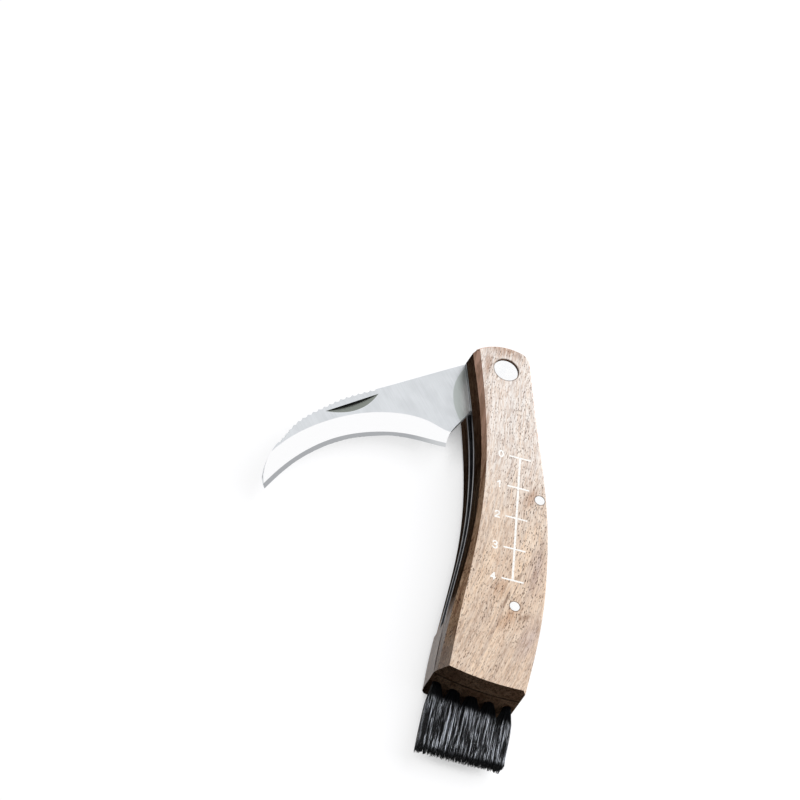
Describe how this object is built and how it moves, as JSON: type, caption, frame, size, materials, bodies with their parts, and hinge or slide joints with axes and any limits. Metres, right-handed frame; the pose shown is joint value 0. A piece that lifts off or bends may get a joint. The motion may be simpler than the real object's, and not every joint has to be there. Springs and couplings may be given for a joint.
{
  "type": "folding mushroom knife",
  "caption": "Folding mushroom knife: serrated sickle blade, walnut handle with a centimetre scale, and a bristle brush in the tail.",
  "frame": {"origin": "on the blade pivot's axis, at the handle's flat underside", "axes": "+Y along the handle from the brush towards the pivot end, +X towards the handle's back, +Z along the pivot from the underside to the face with the scale; the blade points towards -X at rest"},
  "size_m": [0.0786, 0.1286, 0.0164],
  "materials": {
    "blade_steel": "satin flats, polished bevel",
    "polished_steel": "polished",
    "bronze": "rolled",
    "liner_steel": "satin",
    "walnut": "oiled, fine dark pores along the grain",
    "spring_steel": "satin",
    "bristle": "fine nylon strands",
    "staple_wire": "drawn wire",
    "white_paint": "matt fill in the engraving"
  },
  "bodies": {
    "handle": {"pivot_rivet_tube": "polished_steel", "pivot_rivet_pin": "polished_steel", "pivot_washer_upper": "bronze", "pivot_washer_lower": "bronze", "liner_upper": "liner_steel", "liner_lower": "liner_steel", "scale_upper": "walnut", "scale_lower": "walnut", "back_spring": "spring_steel", "spring_pin": "polished_steel", "tail_pin": "polished_steel", "brush_block": "walnut", "tuft_1": "bristle", "tuft_2": "bristle", "tuft_3": "bristle", "tuft_4": "bristle", "tuft_5": "bristle", "tuft_staples": "staple_wire", "ruler_marks": "white_paint", "ruler_digits": "white_paint"},
    "blade": {"blade": "blade_steel"}
  },
  "joints": [
    {"name": "blade_pivot", "type": "hinge", "parent": "handle", "child": "blade", "pos_m": [0, 0, 0.0082], "axis": [0, 0, 1], "range_deg": [-115, 47.5]}
  ]
}
